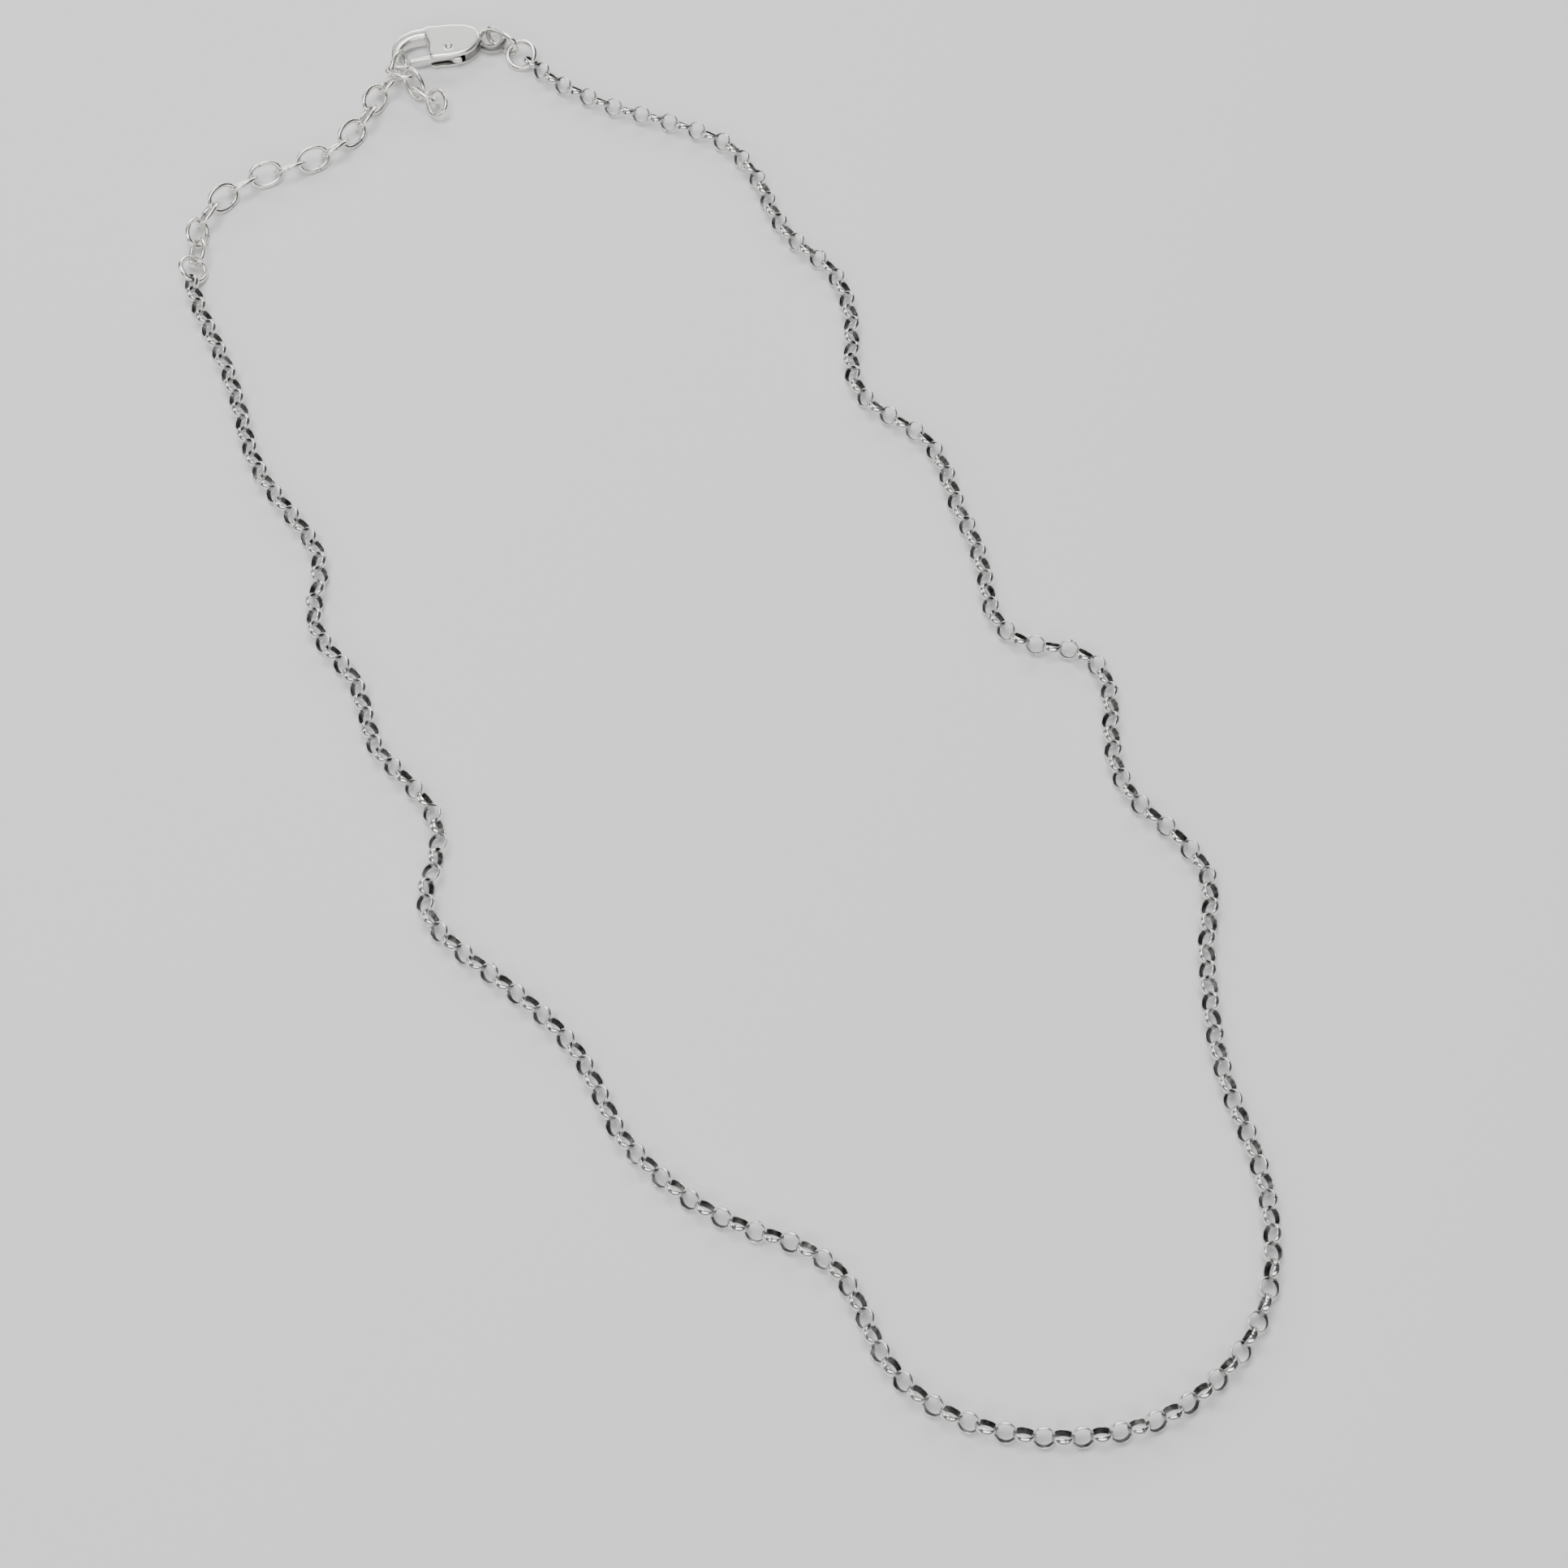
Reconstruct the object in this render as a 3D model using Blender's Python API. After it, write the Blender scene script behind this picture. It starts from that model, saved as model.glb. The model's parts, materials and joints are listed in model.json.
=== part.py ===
# Rolo (belcher) chain necklace with a lobster clasp and an extension chain.
# Metres, +Z up. It lies closed on a table: the table is z = 0.
import bpy
import bmesh
import math
from mathutils import Vector, Matrix

for ob in list(bpy.data.objects):
    bpy.data.objects.remove(ob, do_unlink=True)

MM = 0.001

# ---- main chain link: a round flat band
LINK_OD = 2.50
LINK_WALL = 0.15
LINK_WIDTH = 0.80
LINK_PITCH = 1.998
JOINT_PITCH = 1.90          # centre distance across a working junction
SEGS = 8
# ---- extension chain link: an oval of round wire
OVAL_L = 4.70
OVAL_W = 3.50
OVAL_WIRE = 0.60
# ---- jump rings: long one at the clasp, two round ones
JUMP_A_L = 5.60
JUMP_A_W = 3.90
JUMP_OD = 4.40
JUMP_WIRE = 0.72
JUMP_D_OD = 4.20
JUMP_D_WIRE = 0.70
# ---- clasp
CLASP_AT = (-34.2, 98.05)
CLASP_TURN = 8.0
CLASP_T = 2.40
SLOT_LOW, SLOT_HIGH = 0.60, 1.80
LEVER_LOW, LEVER_HIGH = 0.70, 1.70
PIVOT = (0.55, -1.45)
PIN_R = 0.34

# Course of the main chain on the table, mm, from the clasp side round the
# front to the extension side.
ROUTE = [
    (-22.15, 94.85), (-18.7, 91.5), (-14.7, 89.0), (-11.0, 87.0), (-6.2, 85.3),
    (-2.6, 84.0), (1.2, 82.4), (4.6, 80.2), (7.1, 76.9), (9.0, 73.4),
    (10.4, 69.4), (12.3, 65.6), (15.0, 62.4), (18.0, 59.4), (19.8, 55.4),
    (20.6, 51.0), (20.6, 46.5), (20.8, 42.0), (22.8, 38.0), (26.2, 35.2),
    (29.8, 32.2), (32.0, 27.6), (33.4, 22.2), (35.2, 17.4), (36.3, 12.4),
    (37.0, 7.4), (39.0, 3.8), (42.6, 2.0), (46.4, 1.4), (49.4, -0.8),
    (50.6, -4.6), (50.5, -10.0), (51.0, -15.0), (53.2, -19.4), (57.2, -23.6),
    (60.2, -28.0), (60.5, -32.5), (59.7, -37.5), (59.6, -43.5), (59.9, -49.5),
    (61.0, -55.5), (62.7, -61.0), (64.0, -66.8), (64.2, -73.0), (63.1, -79.0),
    (60.4, -84.2), (56.4, -88.6), (51.4, -91.9), (45.5, -93.7), (38.5, -94.0),
    (31.6, -92.6), (26.0, -89.6), (22.3, -85.2), (20.1, -80.2), (17.6, -76.0),
    (13.4, -73.2), (8.2, -71.4), (3.0, -68.8), (-1.8, -65.0), (-5.8, -60.6),
    (-8.2, -55.8), (-10.8, -51.0), (-14.4, -46.8), (-19.0, -42.8),
    (-24.0, -38.8), (-27.6, -35.2), (-28.9, -31.6), (-28.2, -28.0),
    (-27.8, -24.2), (-29.0, -20.2), (-32.2, -16.2), (-35.8, -12.0),
    (-37.4, -7.4), (-39.0, -2.9), (-41.9, 0.9), (-44.1, 4.2), (-44.7, 8.0),
    (-44.4, 12.0), (-45.3, 16.2), (-48.6, 21.0), (-52.3, 26.2), (-54.7, 31.2),
    (-56.4, 37.0), (-58.6, 43.2), (-61.2, 49.0), (-63.4, 53.8), (-64.4, 57.0)]

# Course of the extension chain, from the front jump ring to the clasp hook.
EXT_ROUTE = [(-64.2, 61.9), (-64.5, 65.2), (-63.5, 68.4), (-61.3, 71.6),
             (-58.2, 74.2), (-54.8, 75.8), (-50.6, 77.6), (-47.2, 80.2),
             (-44.8, 83.4), (-43.4, 86.6), (-42.7, 89.0), (-41.5, 91.1)]
HOOKED = (-40.06, 93.87, 74.0, -18.0)
# Free tail past the hooked link, bunched: centre x, y, z, then heading, roll
# and tilt in degrees
TAIL = [(-39.55, 91.9, 2.50, -27.5, 65.0, 7.0),
        (-37.8, 90.5, 1.86, -57.0, -28.5, -30.0),
        (-36.3, 88.9, 1.42, -38.0, 39.0, -3.0),
        (-34.6, 87.5, 1.38, -69.0, -52.5, 0.5)]
# Links in each one-piece run of the main chain, from the clasp side.
RUNS = ([7, 7, 8, 7, 7, 8, 7, 7, 8, 7, 7, 8, 7, 7, 8, 7]   # clasp side
        + [9]                                              # front
        + [8, 8, 8, 8, 8, 8, 8, 8, 8, 8, 8, 7])            # extension side
# Where the chain rolls over: (share of its length, degrees of extra roll)
ROLLS = [(0.0, 0), (0.07, 0), (0.085, -12), (0.10, 0), (0.36, 0), (0.40, 10),
         (0.43, 0), (0.465, 4), (0.485, 34), (0.50, 26), (0.52, 2), (0.76, 0),
         (0.785, 24), (0.80, 20), (0.82, 0), (1.0, 0)]


def spline(pts, n=24):
    p = [Vector((a[0], a[1], 0.0)) for a in pts]
    p = [p[0] * 2 - p[1]] + p + [p[-1] * 2 - p[-2]]
    out = []
    for i in range(1, len(p) - 2):
        a, b, c, d = p[i - 1], p[i], p[i + 1], p[i + 2]
        for k in range(n):
            t = k / n
            out.append(0.5 * ((2 * b) + (c - a) * t
                              + (2 * a - 5 * b + 4 * c - d) * t * t
                              + (3 * b - a - 3 * c + d) * t ** 3))
    out.append(p[-2].copy())
    return out


def walk(line, gaps):
    """Points on the line whose straight distances are the given gaps."""
    at = [line[0].copy()]
    i = 0
    for g in gaps:
        last = at[-1]
        while i < len(line) - 1 and (line[i + 1] - last).length < g:
            i += 1
        if i >= len(line) - 1:
            d = (line[-1] - line[-2]).normalized()
            at.append(last + d * g)
            continue
        a, b = line[i], line[i + 1]
        lo, hi = 0.0, 1.0
        for _ in range(30):
            m = (lo + hi) / 2
            if ((a.lerp(b, m)) - last).length < g:
                lo = m
            else:
                hi = m
        at.append(a.lerp(b, (lo + hi) / 2))
    return at


def headings(at):
    out = []
    for i in range(len(at)):
        a = at[max(i - 1, 0)]
        b = at[min(i + 1, len(at) - 1)]
        out.append((b - a).normalized())
    return out


def frame_of(centre, along, roll, width_half, thick):
    """Link matrix: x along the chain, y across in the link's plane, z its
    axis. The centre height lets the link touch the table."""
    n = Vector((-along.y, along.x, 0.0)).normalized()
    r = math.radians(roll)
    axis = n * math.cos(r) + Vector((0, 0, 1)) * math.sin(r)
    across = axis.cross(along)
    z = width_half * abs(across.z) + thick
    m = Matrix.Identity(4)
    for k, v in enumerate((along, across, axis)):
        m[0][k], m[1][k], m[2][k] = v
    m[0][3], m[1][3], m[2][3] = centre.x, centre.y, z
    return m


def extra_roll(share):
    for (a, ra), (b, rb) in zip(ROLLS, ROLLS[1:]):
        if a <= share <= b:
            return ra + (rb - ra) * (share - a) / (b - a)
    return 0.0


def make(name, verts, faces, colour, rough=0.3, smooth=False):
    me = bpy.data.meshes.new(name)
    me.from_pydata([tuple(c * MM for c in v) for v in verts], [], faces)
    me.update()
    bm = bmesh.new()
    bm.from_mesh(me)
    bmesh.ops.recalc_face_normals(bm, faces=bm.faces)
    bm.to_mesh(me)
    bm.free()
    ob = bpy.data.objects.new(name, me)
    bpy.context.scene.collection.objects.link(ob)
    mat = bpy.data.materials.new(name + "_mat")
    mat.use_nodes = True
    bsdf = mat.node_tree.nodes["Principled BSDF"]
    bsdf.inputs["Base Color"].default_value = (*colour, 1.0)
    bsdf.inputs["Metallic"].default_value = 1.0
    bsdf.inputs["Roughness"].default_value = rough
    me.materials.append(mat)
    if smooth:
        for f in me.polygons:
            f.use_smooth = True
    return ob


SILVER = (0.56, 0.55, 0.53)
BRIGHT = (0.80, 0.79, 0.76)
STEEL = (0.45, 0.45, 0.46)

# ------------------------------------------------------------ main chain
FLAT = math.cos(math.pi / SEGS)
EVEN = math.sqrt(2 * math.pi / (SEGS * math.sin(2 * math.pi / SEGS)))
R_OUT = LINK_OD / 2 * EVEN
R_IN = (LINK_OD / 2 - LINK_WALL) * EVEN


def band_points(m):
    """32 points of one link: per corner inner low, inner high, outer low,
    outer high."""
    pts = []
    for k in range(SEGS):
        a = math.pi / SEGS + 2 * math.pi * k / SEGS
        for r in (R_IN, R_OUT):
            for s in (-0.5, 0.5):
                pts.append(m @ Vector((r * math.cos(a), r * math.sin(a),
                                       s * LINK_WIDTH)))
    return pts


def run_mesh(mats):
    verts, faces = [], []
    last = len(mats) - 1
    for i, m in enumerate(mats):
        base = len(verts)
        verts += band_points(m)
        for k in range(SEGS):
            a, b = base + 4 * k, base + 4 * ((k + 1) % SEGS)
            front = (k == SEGS - 1)
            back = (k == SEGS // 2 - 1)
            if not ((front and i < last) or (back and i > 0)):
                faces.append((a, a + 1, b + 1, b))
            faces.append((a + 2, b + 2, b + 3, a + 3))
            faces.append((a, b, b + 2, a + 2))
            faces.append((a + 1, a + 3, b + 3, b + 1))
        if i > 0:
            # join the facing inner flats of this link and the one before
            pa, pb = base - 4 * SEGS + 4 * (SEGS - 1), base - 4 * SEGS
            ring_a = [pa, pa + 1, pb + 1, pb]
            qa, qb = base + 4 * (SEGS // 2 - 1), base + 4 * (SEGS // 2)
            ring_b = [qa, qa + 1, qb + 1, qb]
            best = None
            for turn in range(4):
                for way in (1, -1):
                    order = [ring_b[(turn + way * j) % 4] for j in range(4)]
                    cost = sum((verts[x] - verts[y]).length
                               for x, y in zip(ring_a, order))
                    if best is None or cost < best[0]:
                        best = (cost, order)
            order = best[1]
            for j in range(4):
                faces.append((ring_a[j], ring_a[(j + 1) % 4],
                              order[(j + 1) % 4], order[j]))
    return verts, faces


total = sum(RUNS)
gaps = []
for n_run, n in enumerate(RUNS):
    gaps += [LINK_PITCH] * (n - 1)
    if n_run < len(RUNS) - 1:
        gaps.append(JOINT_PITCH)
line = spline(ROUTE)
centres = walk(line, gaps)
tang = headings(centres)
link_mats = []
for i, (c, t) in enumerate(zip(centres, tang)):
    roll = (45.0 if i % 2 == 0 else -45.0) + extra_roll(i / (total - 1))
    m = frame_of(c, t, roll, R_OUT * FLAT * 1.04, 0.0)
    m[2][3] += LINK_WIDTH / 2 * abs(m[2][2])
    link_mats.append(m)
# a link lying flatter than its neighbours hangs between them
rest = [m[2][3] for m in link_mats]
for i in range(1, total - 1):
    lift = (rest[i - 1] + rest[i + 1]) / 2 - rest[i]
    link_mats[i][2][3] = rest[i] + 0.7 * max(0.0, lift)
run_no = 0
start = 0
for n in RUNS:
    v, f = run_mesh(link_mats[start:start + n])
    make("chain_run_%02d" % (run_no + 1), v, f, SILVER, 0.28)
    start += n
    run_no += 1


# ------------------------------------------------- links of round wire
def wire_link(m, half_l, half_w, wire_r, around=14, sides=6, power=2.3):
    verts, faces = [], []
    mid = []
    for k in range(around):
        a = 2 * math.pi * (k + 0.5) / around
        c, s = math.cos(a), math.sin(a)
        x = half_l * math.copysign(abs(c) ** (2 / power), c)
        y = half_w * math.copysign(abs(s) ** (2 / power), s)
        mid.append(Vector((x, y, 0)))
    for k in range(around):
        t = (mid[(k + 1) % around] - mid[k - 1]).normalized()
        out = Vector((t.y, -t.x, 0))
        for j in range(sides):
            b = 2 * math.pi * (j + 0.5) / sides
            p = mid[k] + out * (wire_r * math.cos(b))
            p = p + Vector((0, 0, wire_r * math.sin(b)))
            verts.append(m @ p)
    for k in range(around):
        for j in range(sides):
            a0, a1 = k * sides + j, k * sides + (j + 1) % sides
            b0 = ((k + 1) % around) * sides + j
            b1 = ((k + 1) % around) * sides + (j + 1) % sides
            faces.append((a0, b0, b1, a1))
    return verts, faces


def oval(name, centre, along, roll, colour=BRIGHT):
    hl, hw = (OVAL_L - OVAL_WIRE) / 2, (OVAL_W - OVAL_WIRE) / 2
    m = frame_of(centre, along, roll, hw, OVAL_WIRE / 2)
    v, f = wire_link(m, hl, hw, OVAL_WIRE / 2)
    make(name, v, f, colour, 0.22, True)
    return m


def jump(name, centre, along, roll, long, wide, wire):
    hl, hw = (long - wire) / 2, (wide - wire) / 2
    m = frame_of(centre, along, roll, hw, wire / 2)
    v, f = wire_link(m, hl, hw, wire / 2, 16, 6, 2.0 if long == wide else 2.8)
    make(name, v, f, BRIGHT, 0.22, True)
    return m


M0 = centres[0]
M_END = centres[-1]


def toward(a, b):
    return (Vector((b[0], b[1], 0)) - Vector((a[0], a[1], 0))).normalized()


RING_A = (-26.3, 98.1)
RING_B = (-23.65, 96.2)
RING_D = (-64.45, 59.1)


def facing(deg):
    return Vector((math.cos(math.radians(deg)), math.sin(math.radians(deg)), 0))


jump("jump_ring_a", Vector((*RING_A, 0)), facing(-35.0), 0.0,
     JUMP_A_L, JUMP_A_W, JUMP_WIRE)
jump("jump_ring_b", Vector((*RING_B, 0)), facing(-18.5), -59.0,
     JUMP_OD, JUMP_OD, JUMP_WIRE)

ext_line = spline(EXT_ROUTE)
EXT_COUNT = 13
length = sum((b - a).length for a, b in zip(ext_line, ext_line[1:]))
ext_at = walk(ext_line, [length * 0.9985 / (EXT_COUNT - 1)] * (EXT_COUNT - 1))
last_roll = -45.0 if total % 2 == 1 else 45.0
jump("jump_ring_c", Vector((*RING_D, 0)), facing(90.5), -53.0,
     JUMP_D_OD, JUMP_D_OD, JUMP_D_WIRE)
ext_dir = headings(ext_at)
for i, (c, t) in enumerate(zip(ext_at, ext_dir)):
    roll = -last_roll if i % 2 == 0 else last_roll
    oval("ext_link_%02d" % (i + 1), c, t, roll)
oval("ext_link_hooked", Vector((HOOKED[0], HOOKED[1], 0)), facing(HOOKED[2]),
     HOOKED[3])
for i, (x, y, z, head, roll, tilt) in enumerate(TAIL):
    flat = facing(head)
    q, r = math.radians(tilt), math.radians(roll)
    along = flat * math.cos(q) + Vector((0, 0, math.sin(q)))
    n = Vector((-flat.y, flat.x, 0))
    axis = n * math.cos(r) + along.cross(n) * math.sin(r)
    m = Matrix.Identity(4)
    for k, v in enumerate((along, axis.cross(along), axis)):
        m[0][k], m[1][k], m[2][k] = v
    m[0][3], m[1][3], m[2][3] = x, y, z
    v, f = wire_link(m, (OVAL_L - OVAL_WIRE) / 2, (OVAL_W - OVAL_WIRE) / 2,
                     OVAL_WIRE / 2)
    make("tail_link_%d" % (i + 1), v, f, BRIGHT, 0.22, True)


# ------------------------------------------------------------------ clasp
def clasp_matrix():
    return (Matrix.Translation(Vector((CLASP_AT[0], CLASP_AT[1], 0)))
            @ Matrix.Rotation(math.radians(CLASP_TURN), 4, 'Z'))


CM = clasp_matrix()


def prism(outline, z0, z1, chamfer=0.0):
    """Closed body from a counter-clockwise outline, top and bottom edges
    chamfered by the given amount."""
    n = len(outline)
    rings = []
    if chamfer > 0:
        small = []
        for i in range(n):
            a, b, c = (Vector(outline[i - 1]), Vector(outline[i]),
                       Vector(outline[(i + 1) % n]))
            e1, e2 = (b - a).normalized(), (c - b).normalized()
            n1, n2 = Vector((-e1.y, e1.x)), Vector((-e2.y, e2.x))
            d = (n1 + n2)
            d = d / max(d.length_squared / 2, 0.3)
            small.append(tuple(b + d * chamfer))
        rings = [(small, z0), (outline, z0 + chamfer),
                 (outline, z1 - chamfer), (small, z1)]
    else:
        rings = [(outline, z0), (outline, z1)]
    verts, faces = [], []
    for pts, z in rings:
        for p in pts:
            verts.append(Vector((p[0], p[1], z)))
    for r in range(len(rings) - 1):
        for i in range(n):
            j = (i + 1) % n
            faces.append((r * n + i, r * n + j, (r + 1) * n + j,
                          (r + 1) * n + i))
    faces.append(tuple(range(n - 1, -1, -1)))
    top = (len(rings) - 1) * n
    faces.append(tuple(range(top, top + n)))
    return verts, faces


def tube(path, radii, sides=8):
    """Swept solid: path of (x, y), radii of (half width, half height) about
    height z of the clasp's middle plane."""
    zc = CLASP_T / 2
    verts, faces = [], []
    n = len(path)
    for k in range(n):
        a, b = Vector(path[max(k - 1, 0)]), Vector(path[min(k + 1, n - 1)])
        t = (b - a).normalized()
        nrm = Vector((t.y, -t.x))
        for j in range(sides):
            g = 2 * math.pi * (j + 0.5) / sides
            w = radii[k][0] * math.cos(g) / math.cos(math.pi / sides)
            h = radii[k][1] * math.sin(g) / math.cos(math.pi / sides)
            p = Vector(path[k]) + nrm * w
            verts.append(Vector((p.x, p.y, zc + h)))
    for k in range(n - 1):
        for j in range(sides):
            j2 = (j + 1) % sides
            faces.append((k * sides + j, k * sides + j2,
                          (k + 1) * sides + j2, (k + 1) * sides + j))
    faces.append(tuple(range(sides)))
    faces.append(tuple(range((n - 1) * sides + sides - 1,
                             (n - 1) * sides - 1, -1)))
    return verts, faces


def disc(centre, r, z0, z1, n=16, chamfer=0.0):
    out = [(centre[0] + r * math.cos(2 * math.pi * k / n),
            centre[1] + r * math.sin(2 * math.pi * k / n)) for k in range(n)]
    return prism(out, z0, z1, chamfer)


def raw(name, vf):
    me = bpy.data.meshes.new(name)
    me.from_pydata([tuple((CM @ v) * MM) for v in vf[0]], [], vf[1])
    bm = bmesh.new()
    bm.from_mesh(me)
    bmesh.ops.recalc_face_normals(bm, faces=bm.faces)
    bm.to_mesh(me)
    bm.free()
    ob = bpy.data.objects.new(name, me)
    bpy.context.scene.collection.objects.link(ob)
    return ob


def combine(base, tools):
    """Apply a list of (operation, object) to base, then remove the tools."""
    for op, tool in tools:
        mod = base.modifiers.new("cut", 'BOOLEAN')
        mod.operation = op
        mod.solver = 'EXACT'
        mod.object = tool
        dg = bpy.context.evaluated_depsgraph_get()
        me = bpy.data.meshes.new_from_object(base.evaluated_get(dg))
        base.modifiers.clear()
        old = base.data
        base.data = me
        bpy.data.meshes.remove(old)
        bpy.data.objects.remove(tool, do_unlink=True)
    return base


def finish_clasp(ob, name, colour, rough):
    me = ob.data
    ob.name = name
    me.name = name
    bm = bmesh.new()
    bm.from_mesh(me)
    bmesh.ops.remove_doubles(bm, verts=bm.verts, dist=0.000002)
    bmesh.ops.dissolve_degenerate(bm, dist=0.000001, edges=bm.edges)
    bmesh.ops.recalc_face_normals(bm, faces=bm.faces)
    bmesh.ops.triangulate(bm, faces=bm.faces)
    bm.to_mesh(me)
    bm.free()
    mat = bpy.data.materials.new(name + "_mat")
    mat.use_nodes = True
    bsdf = mat.node_tree.nodes["Principled BSDF"]
    bsdf.inputs["Base Color"].default_value = (*colour, 1.0)
    bsdf.inputs["Metallic"].default_value = 1.0
    bsdf.inputs["Roughness"].default_value = rough
    me.materials.clear()
    me.materials.append(mat)


BODY_OUTLINE = [(-2.50, 0.80), (-2.15, -0.60), (-2.05, -2.85), (-0.60, -3.08),
                (1.20, -3.06), (2.75, -2.72), (3.85, -2.02), (4.65, -1.05),
                (4.98, 0.20), (4.70, 1.45), (3.90, 2.15), (2.80, 2.58),
                (1.20, 2.80), (-0.80, 2.82), (-2.50, 2.74)]
HOOK_PATH = [(-1.2, 1.80), (-2.7, 1.84), (-4.0, 1.72), (-5.05, 1.34),
             (-5.90, 0.70), (-6.45, -0.20), (-6.78, -1.20), (-6.75, -2.15),
             (-6.40, -2.95), (-5.80, -3.45), (-5.10, -3.60)]
HOOK_R = [(1.00, 1.16), (1.00, 1.12), (0.98, 1.05), (0.94, 0.95),
          (0.86, 0.82), (0.70, 0.68), (0.52, 0.56), (0.42, 0.48),
          (0.38, 0.43), (0.34, 0.40), (0.28, 0.34)]
EYE = (6.45, 0.25)
EYE_R, EYE_HOLE = 2.10, 1.30
EYE_LOW, EYE_HIGH = 0.80, 1.60

body = raw("clasp_raw", prism(BODY_OUTLINE, 0.0, CLASP_T, 0.35))
slot = [(-3.2, -0.95), (-0.30, -0.35), (0.20, -0.25), (1.10, -0.33),
        (1.75, -0.80), (2.25, -1.40), (2.90, -3.8), (-3.2, -3.8)]
combine(body, [
    ('UNION', raw("hook", tube(HOOK_PATH, HOOK_R))),
    ('UNION', raw("eye", disc(EYE, EYE_R, EYE_LOW, EYE_HIGH, 20, 0.22))),
    ('DIFFERENCE', raw("eyehole", disc(EYE, EYE_HOLE, -0.4, 2.9, 16))),
    ('DIFFERENCE', raw("slot", prism(slot, SLOT_LOW, SLOT_HIGH))),
    ('DIFFERENCE', raw("pinhole", disc(PIVOT, PIN_R + 0.02, -0.5, 3.0, 12))),
])
finish_clasp(body, "clasp_body", BRIGHT, 0.30)

LEVER_OUTLINE = [(-5.00, -2.55), (-4.86, -2.90), (-4.20, -2.88),
                 (-2.80, -2.76), (-1.20, -2.62), (0.30, -2.58),
                 (1.10, -3.10), (1.85, -3.25), (2.15, -2.90), (1.85, -2.25),
                 (1.45, -1.50), (1.15, -0.90), (0.55, -0.60), (0.00, -0.76),
                 (-0.60, -1.30), (-1.60, -1.75), (-3.20, -2.08),
                 (-4.72, -2.28)]
lever = raw("lever_raw", prism(LEVER_OUTLINE, LEVER_LOW, LEVER_HIGH, 0.12))
combine(lever, [
    ('DIFFERENCE', raw("lhole", disc(PIVOT, PIN_R + 0.06, 0.3, 2.1, 12))),
    ('DIFFERENCE', raw("lrecess", disc(PIVOT, 0.80, 1.14, 2.1, 16))),
])
finish_clasp(lever, "clasp_lever", BRIGHT, 0.28)

pin = raw("pin_raw", disc(PIVOT, PIN_R, 0.04, 2.36, 12))
finish_clasp(pin, "clasp_pin", BRIGHT, 0.25)


def coil(centre, r, wire, z0, turns, steps, sides=5):
    verts, faces = [], []
    n = int(turns * steps) + 1
    for k in range(n):
        a = 2 * math.pi * k / steps
        rise = (2.6 * wire) * k / steps
        radial = Vector((math.cos(a), math.sin(a), 0))
        c = Vector((centre[0], centre[1], z0 + rise)) + radial * r
        for j in range(sides):
            g = 2 * math.pi * j / sides
            verts.append(c + radial * (wire * math.cos(g))
                         + Vector((0, 0, wire * math.sin(g))))
    for k in range(n - 1):
        for j in range(sides):
            j2 = (j + 1) % sides
            faces.append((k * sides + j, k * sides + j2,
                          (k + 1) * sides + j2, (k + 1) * sides + j))
    faces.append(tuple(range(sides - 1, -1, -1)))
    faces.append(tuple(range((n - 1) * sides, n * sides)))
    return verts, faces


spring = raw("spring_raw", coil(PIVOT, 0.56, 0.07, 1.26, 2.2, 10))
finish_clasp(spring, "clasp_spring", STEEL, 0.30)

# ------------------------------- origin: middle of the bounding box, on z = 0
lo = Vector((1e9,) * 3)
hi = Vector((-1e9,) * 3)
parts = [o for o in bpy.data.objects if o.type == 'MESH']
for o in parts:
    for v in o.data.vertices:
        for k in range(3):
            lo[k] = min(lo[k], v.co[k])
            hi[k] = max(hi[k], v.co[k])
shift = Vector((-(lo.x + hi.x) / 2, -(lo.y + hi.y) / 2, -lo.z))
for o in parts:
    o.data.transform(Matrix.Translation(shift))
    o.data.update()
print("links", total, "size mm", [(h - l) / MM for l, h in zip(lo, hi)],
      "shift mm", [c / MM for c in shift])
print("ext line length", length, "route end gap",
      (centres[-1] - line[-1]).length)
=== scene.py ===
import bpy
import bmesh
import json
import math
import random
from mathutils import Vector, Matrix


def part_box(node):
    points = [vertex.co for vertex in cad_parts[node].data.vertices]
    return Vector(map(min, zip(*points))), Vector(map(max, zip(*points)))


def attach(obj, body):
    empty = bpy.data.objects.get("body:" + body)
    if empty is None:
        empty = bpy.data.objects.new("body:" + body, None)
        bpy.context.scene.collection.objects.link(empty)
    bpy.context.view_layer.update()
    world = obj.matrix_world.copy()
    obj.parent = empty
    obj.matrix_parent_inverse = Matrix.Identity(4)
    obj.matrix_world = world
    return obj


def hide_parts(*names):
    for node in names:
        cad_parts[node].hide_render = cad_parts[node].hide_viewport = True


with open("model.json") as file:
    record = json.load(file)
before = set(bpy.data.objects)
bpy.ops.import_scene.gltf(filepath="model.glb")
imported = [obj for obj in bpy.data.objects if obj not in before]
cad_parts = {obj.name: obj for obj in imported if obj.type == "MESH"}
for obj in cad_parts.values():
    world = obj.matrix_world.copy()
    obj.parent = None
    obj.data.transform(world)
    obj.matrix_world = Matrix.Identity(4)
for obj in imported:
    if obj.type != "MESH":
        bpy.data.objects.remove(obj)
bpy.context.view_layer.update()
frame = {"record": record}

MM = 0.001

# ---- main chain link: a round flat band
LINK_OD = 2.50
LINK_WALL = 0.15
LINK_WIDTH = 0.80
LINK_PITCH = 1.998
JOINT_PITCH = 1.90          # centre distance across a working junction
SEGS = 8
# ---- extension chain link: an oval of round wire
OVAL_L = 4.70
OVAL_W = 3.50
OVAL_WIRE = 0.60
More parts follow.
